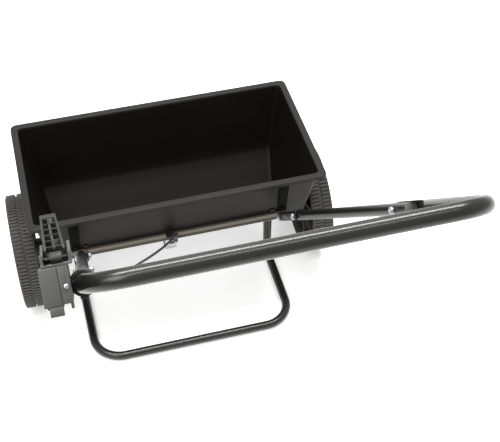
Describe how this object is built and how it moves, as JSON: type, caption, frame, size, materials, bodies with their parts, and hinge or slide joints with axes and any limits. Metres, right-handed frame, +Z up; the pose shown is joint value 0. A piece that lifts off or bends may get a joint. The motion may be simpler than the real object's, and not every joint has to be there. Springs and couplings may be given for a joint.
{
  "type": "drop spreader",
  "caption": "Walk-behind drop spreader for lawns: open hopper between lugged wheels, bent tube handle, ground stand, and a hand lever that pulls a cable to slide the shutter open",
  "frame": {"origin": "bottom centre of the whole object, on the ground", "axes": "+X to the operator's right along the axle, +Y forward from handle to hopper, +Z up"},
  "size_m": [0.701, 1.0996, 1.0474],
  "materials": {
    "hopper_poly": "moulded satin black",
    "guide_steel": "black powder coat",
    "frame_steel": "gloss black powder coat",
    "zinc_steel": "bright zinc plate",
    "wheel_poly": "moulded charcoal",
    "control_poly": "moulded mid grey",
    "clamp_poly": "moulded dark grey",
    "cable_cover": "extruded black",
    "agitator_poly": "moulded charcoal",
    "bearing_poly": "moulded grey"
  },
  "bodies": {
    "frame": {"hopper_shell": "hopper_poly", "shutter_guide_left": "guide_steel", "shutter_guide_right": "guide_steel", "bearing_left": "bearing_poly", "bearing_right": "bearing_poly", "strap_left": "frame_steel", "strap_right": "frame_steel", "cross_rail": "frame_steel", "tube_bracket_left": "frame_steel", "tube_bracket_right": "frame_steel", "lower_tube_left": "frame_steel", "lower_tube_right": "frame_steel", "tube_plug_left": "clamp_poly", "tube_plug_right": "clamp_poly", "upper_handle": "frame_steel", "stand": "frame_steel", "control_shell_outer": "control_poly", "control_shell_inner": "control_poly", "control_screw": "zinc_steel", "control_surround": "control_poly", "lever_pin": "zinc_steel", "control_clamp": "clamp_poly", "control_cable": "cable_cover", "cable_clip": "zinc_steel", "cable_anchor": "zinc_steel", "bracket_bolt_left_1": "zinc_steel", "bracket_nut_left_1": "zinc_steel", "bracket_bolt_left_2": "zinc_steel", "bracket_nut_left_2": "zinc_steel", "joint_bolt_left": "zinc_steel", "joint_nut_left": "zinc_steel", "strap_bolt_left": "frame_steel", "stand_bolt_left": "zinc_steel", "stand_nut_left": "zinc_steel", "bracket_bolt_right_1": "zinc_steel", "bracket_nut_right_1": "zinc_steel", "bracket_bolt_right_2": "zinc_steel", "bracket_nut_right_2": "zinc_steel", "joint_bolt_right": "zinc_steel", "joint_nut_right": "zinc_steel", "strap_bolt_right": "frame_steel", "stand_bolt_right": "zinc_steel", "stand_nut_right": "zinc_steel"},
    "drive": {"axle": "zinc_steel", "drive_pin": "zinc_steel", "agitator": "agitator_poly", "spacer_left": "zinc_steel", "spacer_right": "zinc_steel", "wheel_right": "wheel_poly", "hub_cap_left": "cable_cover", "hub_cap_right": "cable_cover"},
    "free_wheel": {"wheel_left": "wheel_poly"},
    "lever": {"control_lever": "control_poly"},
    "shutter": {"shutter_plate": "zinc_steel"},
    "inner_wire": {"shutter_wire": "zinc_steel"},
    "rate_stop": {"rate_stop": "control_poly"}
  },
  "joints": [
    {"name": "drive_spin", "type": "hinge", "parent": "frame", "child": "drive", "pos_m": [0, 0.38982, 0.127], "axis": [1, 0, 0], "continuous": true},
    {"name": "free_wheel_spin", "type": "hinge", "parent": "frame", "child": "free_wheel", "pos_m": [-0.327, 0.38982, 0.127], "axis": [1, 0, 0], "continuous": true},
    {"name": "lever_hinge", "type": "hinge", "parent": "frame", "child": "lever", "pos_m": [-0.2567, -0.48109, 1.02654], "axis": [0.9998, -0.0138, 0.0142], "range_deg": [0, 48]},
    {"name": "shutter_slide", "type": "slide", "parent": "frame", "child": "shutter", "axis": [0, -1, 0], "range_m": [0, 0.008]},
    {"name": "wire_slide", "type": "slide", "parent": "frame", "child": "inner_wire", "axis": [0, -0.6679, 0.7442], "range_m": [0, 0.012]},
    {"name": "rate_stop_slide", "type": "slide", "parent": "frame", "child": "rate_stop", "axis": [0.0198, 0.6983, -0.7155], "range_m": [0, 0.03]}
  ],
  "couplings": [
    {"joint": "shutter_slide", "follows": "lever_hinge", "m_per_rad": 0.009549},
    {"joint": "wire_slide", "follows": "lever_hinge", "m_per_rad": 0.014297}
  ]
}
